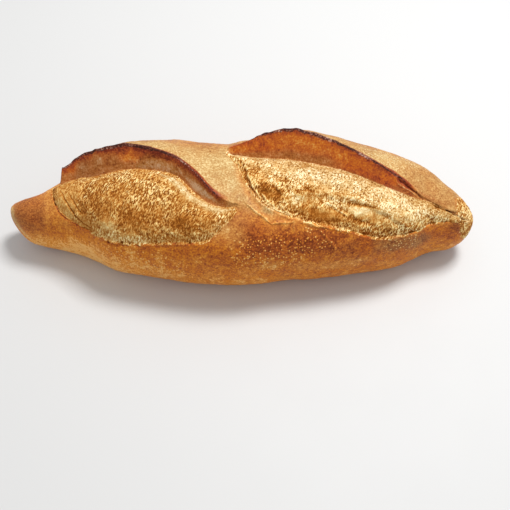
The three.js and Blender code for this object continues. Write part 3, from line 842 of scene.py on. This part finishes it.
def draw_patch(places, station, degrees, reach_along, reach_across):
    """Strength of an oval patch on the surface, from 0 away from it to 1 at its middle."""
    centre = arch_points(np.array([station]), np.array([degrees]))[0]
    x, y, z = ((places - centre) / MM).T
    return bell((x / reach_along) ** 2 + (y * y + z * z) / reach_across ** 2)


def draw_places(places, patches):
    """The strongest of several patches."""
    return max_of(draw_patch(places, *patch) for patch in patches)


def tip_depth(skin):
    """Distance inside the pale crumbly skin of the right tip."""
    past = (skin.station - along(TIP_EDGE, skin.degrees)) * HALF_LENGTH
    return past + TIP_RAG * fractal(skin.points, *TIP_NOISE)


def bake(skin, masks, tip, clumps):
    """Tone and hue of the crust, the right tip, the blooms and the ears' faces."""
    # crust tone by angle, with painted bounce light low on the near flank
    tone = along(CRUST_TONE_AND_BOUNCE, skin.degrees)
    tone += along(NEAR_TONE, skin.station) * smooth((NEAR_REACH - skin.degrees) / NEAR_REACH)
    tone += CLOUD_TONE * fractal(skin.points, *CLOUD_NOISE)
    tone = mix(tone, TIP_TONE + TIP_CLUMPS * clumps, tip)
    hue = mix(along(CRUST_HUE, skin.degrees) * along(HUE_SHARE, skin.station), TIP_CREAM, tip)
    for mask, slash in zip(masks, SLASHES):
        tone = mix(tone, along(slash.crumb_tone, mask.up) + slash.clump_tone * clumps, mask.bloom)
        hue = mix(hue, along(slash.cream, mask.up), mask.bloom)
        scorch = bell(np.minimum(mask.burnt, 0) / SCORCH_REACH)
        # the face's tone and hue, with painted shade darkening and dulling its foot by the crease
        face_tone = along(slash.face_tone, skin.station) + along(slash.face_painted_shade, mask.up_face)
        face_hue = slash.face_hue + along(slash.face_painted_shade_hue, mask.up_face) + SCORCH_HUE * scorch
        tone = mix(tone, face_tone - slash.scorch * scorch, mask.face) + slash.skin_tone * mask.skin
        hue = mix(hue, face_hue, mask.face)
    return tone, hue


def add_marks(skin, wander, places, lift, tone, hue):
    """Adds the lines and the patches to the height, the tone and the hue."""
    for points, half_width, height, tone_change, hue_change in LINES:
        strength = draw_line(skin, points, half_width * MM, LINE_WANDER * wander)
        lift += height * MM * strength
        tone += tone_change * strength
        hue += hue_change * strength
    for *patch, tone_change, hue_change in PATCHES:
        strength = draw_patch(places, *patch)
        tone += tone_change * strength
        hue += hue_change * strength


def dress(skin):
    """Moves the points by the baked relief, and works out the masks that colour them."""
    wander = np.stack([noise(skin.points, *kind) for kind in WANDER_NOISES], axis=1)
    places = skin.points + PATCH_WANDER * wander
    masks = [slash_masks(skin, slash) for slash in SLASHES]
    past_tip = tip_depth(skin)
    tip = smooth(0.5 + past_tip / TIP_BAND)
    face = max_of(mask.face for mask in masks)
    crumb = np.maximum(max_of(mask.bloom for mask in masks), tip * (1 - face))
    crust = (1 - crumb) * (1 - face)
    depth = max_of([*(mask.depth for mask in masks), past_tip - MASK_BAND * face])
    burnt = max_of(mask.burnt for mask in masks)
    settled = max_of(mask.bloom * along(slash.calm, mask.up) for mask, slash in zip(masks, SLASHES))
    calm = np.maximum(draw_places(places, CALM_PLACES), settled)
    rough = 1 - CALM_SHARE * calm

    swell = sum(0.5 ** k * noise(skin.points, *kind) for k, kind in enumerate(SWELL_NOISES))
    pimples = fractal(skin.points, *PIMPLE_NOISE)
    grain = GRAIN_MIDDLE - spots(skin.points * GRAIN_STRETCH, *GRAIN_SPOTS)
    grain += GRAIN_JITTER * noise(skin.points, *GRAIN_NOISE)
    clumps = fractal(skin.points, *CLUMP_NOISE)
    lift = crust * (SWELL_HEIGHT * swell + PIMPLE_HEIGHT * pimples)
    lift += crumb * GRAIN_HEIGHT * grain * rough
    for mask, slash in zip(masks, SLASHES):
        lift += mask.bloom * slash.clump * clumps
        lift += slash.skin_height * mask.skin
    tone, hue = bake(skin, masks, tip, clumps)
    tone += crumb * GRAIN_TONE * grain * rough
    add_marks(skin, wander, places, lift, tone, hue)

    ends = smooth(cap_share(skin.points[:, 0]) / TIP_FADE)
    floor_share = smooth(skin.points[:, 2] / FLOOR_FADE)
    points = skin.points + skin.normals * (lift * ends * floor_share)[:, None]
    points[:, 2] = np.maximum(points[:, 2], 0)
    values = {
        "crumb": 0.5 + depth / MASK_BAND, "face": face, "char": 0.5 + burnt / MASK_BAND, "tone": tone,
        "hue": hue, "blisters": draw_places(places, BLISTERED_PLACES), "calm": calm,
    }
    return points, {name: clamp(value) for name, value in values.items()}


def add_object(name, data):
    """A new object in the scene."""
    added = bpy.data.objects.new(name, data)
    bpy.context.scene.collection.objects.link(added)
    return added


def closed_faces(rows, columns):
    """Quads between the rings, and a fan of triangles at each tip."""
    at = 1 + np.arange(rows * columns).reshape(rows, columns)
    beside = np.roll(at, -1, axis=1)
    quads = np.stack([at[:-1], at[1:], beside[1:], beside[:-1]], axis=-1).reshape(-1, 4)
    last = rows * columns + 1
    left = np.stack([np.zeros(columns, int), at[0], beside[0]], axis=-1)
    right = np.stack([beside[-1], at[-1], np.full(columns, last)], axis=-1)
    return quads.tolist() + left.tolist() + right.tolist()


def add_loaf():
    """The loaf as one closed mesh, thinned where the surface is plain."""
    skin = survey()
    points, masks = dress(skin)
    rows, columns = skin.shape
    vertices = np.vstack([(-HALF_LENGTH, *LEFT_TIP), points, (HALF_LENGTH, *RIGHT_TIP)])
    mesh = bpy.data.meshes.new("loaf_crust")
    mesh.from_pydata(vertices.tolist(), [], closed_faces(rows, columns))
    for name, values in masks.items():
        layer = mesh.attributes.new(name, "FLOAT", "POINT")
        layer.data.foreach_set("value", np.concatenate([values[:1], values, values[-1:]]).astype(np.float32))
    mesh.shade_smooth()
    loaf = add_object("loaf_crust", mesh)
    thin = loaf.modifiers.new("Thin", "DECIMATE")
    thin.ratio = TRIANGLE_LIMIT / (2 * rows * columns)
    thin.use_collapse_triangulate = True
    bpy.context.view_layer.objects.active = loaf
    bpy.ops.object.modifier_apply(modifier="Thin")
    return loaf


class Graph:
    """A material's nodes, with short calls for the kinds that these materials use."""

    # Numbers of the mix node's two values and of its result, by kind
    MIX_SOCKETS = {"RGBA": (6, 7, 2), "FLOAT": (2, 3, 0)}

    def __init__(self, name):
        self.material = bpy.data.materials.new(name)
        self.material.use_nodes = True
        self.tree = self.material.node_tree
        self.shader = self.tree.nodes["Principled BSDF"]
        self.place = self.node("TexCoord", {}).outputs["Object"]

    def feed(self, socket, value):
        if isinstance(value, bpy.types.NodeSocket):
            self.tree.links.new(value, socket)
        else:
            socket.default_value = value

    def node(self, kind, inputs, **settings):
        """A new node with its settings, and values or links for its inputs, which go by name or number."""
        node = self.tree.nodes.new("ShaderNode" + kind)
        for name, value in settings.items():
            setattr(node, name, value)
        for name, value in inputs.items():
            self.feed(node.inputs[name], value)
        return node

    def attribute(self, name):
        return self.node("Attribute", {}, attribute_name=name).outputs["Fac"]

    def strokes(self):
        """Places bent by soft noise, turned about the vertical and stretched, so that noise makes strokes."""
        soft = self.node("TexNoise", {"Vector": self.place, "Scale": 1 / BEND_SIZE}).outputs["Color"]
        bend = {0: soft, 1: (STROKE_BEND, STROKE_BEND, STROKE_BEND), 2: self.place}
        bent = self.node("VectorMath", bend, operation="MULTIPLY_ADD").outputs[0]
        turn = {"Vector": bent, "Angle": STROKE_ANGLE}
        turned = self.node("VectorRotate", turn, rotation_type="Z_AXIS").outputs[0]
        return self.node("VectorMath", {0: turned, 1: STROKE_STRETCH}, operation="MULTIPLY").outputs[0]

    def noise(self, size, detail, place=None):
        """Noise from 0 to 1 with features of that size."""
        place = place or self.place
        inputs = {"Vector": place, "Scale": 1 / size, "Detail": detail, "Roughness": TEXTURE_ROUGHNESS}
        return self.node("TexNoise", inputs).outputs[0]

    def cells(self, size, place=None):
        """Distance to the nearest of scattered spots, in cells of that size, and a random number for it."""
        cells = self.node("TexVoronoi", {"Vector": place or self.place, "Scale": 1 / size})
        return cells.outputs["Distance"], self.node("SeparateColor", {0: cells.outputs["Color"]}).outputs[0]

    def math(self, operation, *values):
        return self.node("Math", dict(enumerate(values)), operation=operation).outputs[0]

    def step(self, value, start, end):
        """0 before start and 1 past end, with a smooth change between them."""
        inputs = {"Value": value, "From Min": start, "From Max": end}
        return self.node("MapRange", inputs, interpolation_type="SMOOTHSTEP").outputs[0]

    def spots(self, size, edge, share):
        """1 on scattered spots and 0 between them."""
        gap, pick = self.cells(size)
        return self.math("MULTIPLY", self.step(gap, *edge), self.step(pick, *share))

    def vary(self, value, *changes):
        """value, raised and lowered by each source from 0 to 1 by up to half its amount."""
        for source, amount in changes:
            value = self.math("MULTIPLY_ADD", self.math("SUBTRACT", source, 0.5), amount, value)
        return value

    def add(self, value, share, amount):
        """value, raised by the amount where the share is 1."""
        return self.math("MULTIPLY_ADD", share, amount, value)

    def ramp(self, value, colours):
        node = self.node("ValToRGB", {"Fac": value})
        elements = node.color_ramp.elements
        while len(elements) < len(colours):
            elements.new(1.0)
        for element, (place, *colour) in zip(elements, colours):
            element.position = place
            element.color = (*colour, 1)
        return node.outputs["Color"]

    def mix(self, share, a, b, kind="RGBA"):
        first, second, result = self.MIX_SOCKETS[kind]
        return self.node("Mix", {0: share, first: a, second: b}, data_type=kind).outputs[result]


def skin_values(graph):
    """The masks that the mesh carries, and the textures that the parts of the surface share."""
    names = ("crumb", "face", "char", "tone", "hue", "blisters", "calm")
    skin = SimpleNamespace(**{name: graph.attribute(name) for name in names})
    skin.fine = graph.noise(*FINE_TEXTURE)
    skin.mottle = graph.noise(*MOTTLE_TEXTURE)
    skin.cloud = graph.noise(*CLOUD_TEXTURE)
    skin.crumb = graph.step(graph.vary(skin.crumb, (skin.fine, CRUMB_RAG)), *MASK_RANGE)
    skin.char = graph.step(graph.vary(skin.char, (skin.mottle, CHAR_RAG)), *MASK_RANGE)
    patchy = graph.add(PATCHY_LEAST, graph.step(skin.cloud, *PATCHY_RANGE), PATCHY_GAIN)
    skin.rough = graph.math("MULTIPLY", graph.add(1, skin.calm, -CALM_LOSS), patchy)
    skin.across = graph.strokes()
    stroke = graph.step(graph.noise(*STROKE_TEXTURE, skin.across), *STROKE_RANGE)
    speck = graph.math("ADD", graph.step(graph.noise(*SPECK_TEXTURE), *SPECK_RANGE), SPECK_DROP)
    skin.weave = graph.mix(skin.hue, stroke, speck, "FLOAT")
    skin.dots = graph.math("MULTIPLY", graph.spots(*DOTS), skin.blisters)
    skin.pits = graph.spots(*SMALL_PITS)
    return skin


def crust_colour(graph, skin):
    """Crust from orange to beige, mottled more where it is orange, with pale blisters and dark pits."""
    look = CRUST_LOOK
    blotches = graph.vary(0, (skin.mottle, look.mottle), (skin.cloud, look.cloud))
    blotches = graph.math("MULTIPLY", blotches, graph.add(1, skin.hue, -look.beige_loss))
    tone = graph.add(graph.vary(skin.tone, (skin.fine, look.fine)), blotches, skin.rough)
    tone = graph.add(graph.add(tone, skin.dots, look.dots), skin.pits, look.pits)
    hue = graph.vary(skin.hue, (skin.cloud, look.hue))
    return graph.mix(hue, graph.ramp(tone, ORANGE_CRUST), graph.ramp(tone, BEIGE_CRUST))


def crumb_colour(graph, skin):
    """Crumb from gold, in strokes, to cream, in specks with small holes."""
    look = CRUMB_LOOK
    gap, pick = graph.cells(FLAKE_SIZE, skin.across)
    grain = graph.math("MULTIPLY", gap, look.gaps)
    grain = graph.vary(grain, (pick, look.flakes), (skin.weave, look.weave))
    grain = graph.add(grain, skin.rough, look.lift)
    tone = graph.add(skin.tone, skin.rough, grain)
    tone = graph.vary(tone, (skin.mottle, look.mottle), (skin.fine, look.fine))
    holes = graph.spots(*HOLES)
    tone = graph.add(tone, graph.math("MULTIPLY", holes, skin.hue), look.holes)
    hue = graph.vary(skin.hue, (skin.cloud, look.hue))
    return graph.mix(hue, graph.ramp(tone, CRUMB), graph.ramp(tone, CREAM))


def face_colour(graph, skin):
    """Ear faces from dull brown to red, with dark pits."""
    look = FACE_LOOK
    changes = (skin.fine, look.fine), (skin.mottle, look.mottle), (skin.cloud, look.cloud)
    tone = graph.add(graph.vary(skin.tone, *changes), skin.pits, look.pits)
    hue = graph.vary(skin.hue, (skin.cloud, look.hue))
    return graph.mix(hue, graph.ramp(tone, DULL_FACE), graph.ramp(tone, RED_FACE))


def surface_roughness(graph, skin):
    """Uneven gloss on the crust, and an even one on crumb, ear faces and burnt edges."""
    crust = graph.vary(CRUST_ROUGHNESS, (skin.mottle, ROUGHNESS_SWING))
    roughness = graph.mix(skin.crumb, crust, CRUMB_ROUGHNESS, "FLOAT")
    roughness = graph.mix(skin.face, roughness, FACE_ROUGHNESS, "FLOAT")
    return graph.mix(skin.char, roughness, CHAR_ROUGHNESS, "FLOAT")


def surface_bump(graph, skin):
    """Relief that is too fine for the mesh."""
    crust = graph.add(graph.math("MULTIPLY", skin.fine, FINE_BUMP), skin.dots, DOT_BUMP)
    crumb = graph.math("MULTIPLY", skin.weave, WEAVE_BUMP)
    height = graph.mix(skin.crumb, crust, crumb, "FLOAT")
    return graph.node("Bump", {"Height": height, "Distance": BUMP_DISTANCE}).outputs["Normal"]


def baked_material():
    """Crust, crumb, ear faces and burnt edges, told apart by the masks that the mesh carries."""
    graph = Graph("baked_bread")
    skin = skin_values(graph)
    colour = graph.mix(skin.crumb, crust_colour(graph, skin), crumb_colour(graph, skin))
    colour = graph.mix(skin.face, colour, face_colour(graph, skin))
    # burnt edges, their pale flecks painted glints
    burnt = graph.ramp(graph.vary(skin.fine, (skin.cloud, CHAR_CLOUD)), CHAR_AND_GLINTS)
    graph.feed(graph.shader.inputs["Base Color"], graph.mix(skin.char, colour, burnt))
    graph.feed(graph.shader.inputs["Roughness"], surface_roughness(graph, skin))
    graph.feed(graph.shader.inputs["Normal"], surface_bump(graph, skin))
    graph.shader.inputs["Specular IOR Level"].default_value = SPECULAR
    return graph.material


def floor_material():
    """Pale matt floor whose gloss is faintly mottled."""
    graph = Graph("pale_floor")
    graph.shader.inputs["Base Color"].default_value = FLOOR_COLOUR
    mottle = graph.noise(*FLOOR_TEXTURE)
    graph.feed(graph.shader.inputs["Roughness"], graph.vary(FLOOR_ROUGHNESS, (mottle, FLOOR_SWING)))
    return graph.material


def add_floor():
    """A wide level floor that the loaf lies on."""
    half = FLOOR_SIZE / 2
    corners = [(-half, -half, 0), (half, -half, 0), (half, half, 0), (-half, half, 0)]
    mesh = bpy.data.meshes.new("floor")
    mesh.from_pydata(corners, [], [(0, 1, 2, 3)])
    mesh.materials.append(floor_material())
    return add_object("floor", mesh)


def add_light():
    """Soft studio light: a broad key above and behind the loaf on the right, and pale surroundings."""
    data = bpy.data.lights.new("key", "AREA")
    data.size = KEY_SIZE
    data.energy = KEY_POWER
    key = add_object("key", data)
    key.location = KEY_PLACE
    key.rotation_mode = "QUATERNION"
    key.rotation_quaternion = (-KEY_PLACE).to_track_quat("-Z", "Y")
    world = bpy.data.worlds.new("studio")
    world.use_nodes = True
    background = world.node_tree.nodes["Background"]
    background.inputs["Color"].default_value = FILL_COLOUR
    background.inputs["Strength"].default_value = FILL_STRENGTH
    bpy.context.scene.world = world


def add_camera():
    """The photograph's camera, looking down from the near side."""
    data = bpy.data.cameras.new("photo_camera")
    data.sensor_width = SENSOR
    data.lens = LENS
    camera = add_object("photo_camera", data)
    camera.location = CAMERA_PLACE
    camera.rotation_mode = "QUATERNION"
    look = (CAMERA_AIM - CAMERA_PLACE).to_track_quat("-Z", "Y")
    camera.rotation_quaternion = look @ Quaternion((0, 0, 1), CAMERA_ROLL)
    bpy.context.scene.camera = camera


loaf = add_loaf()
loaf.data.materials.append(baked_material())
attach(loaf, "root")
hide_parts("loaf")
add_floor()
add_light()
add_camera()
bpy.context.scene.view_settings.view_transform = "Standard"
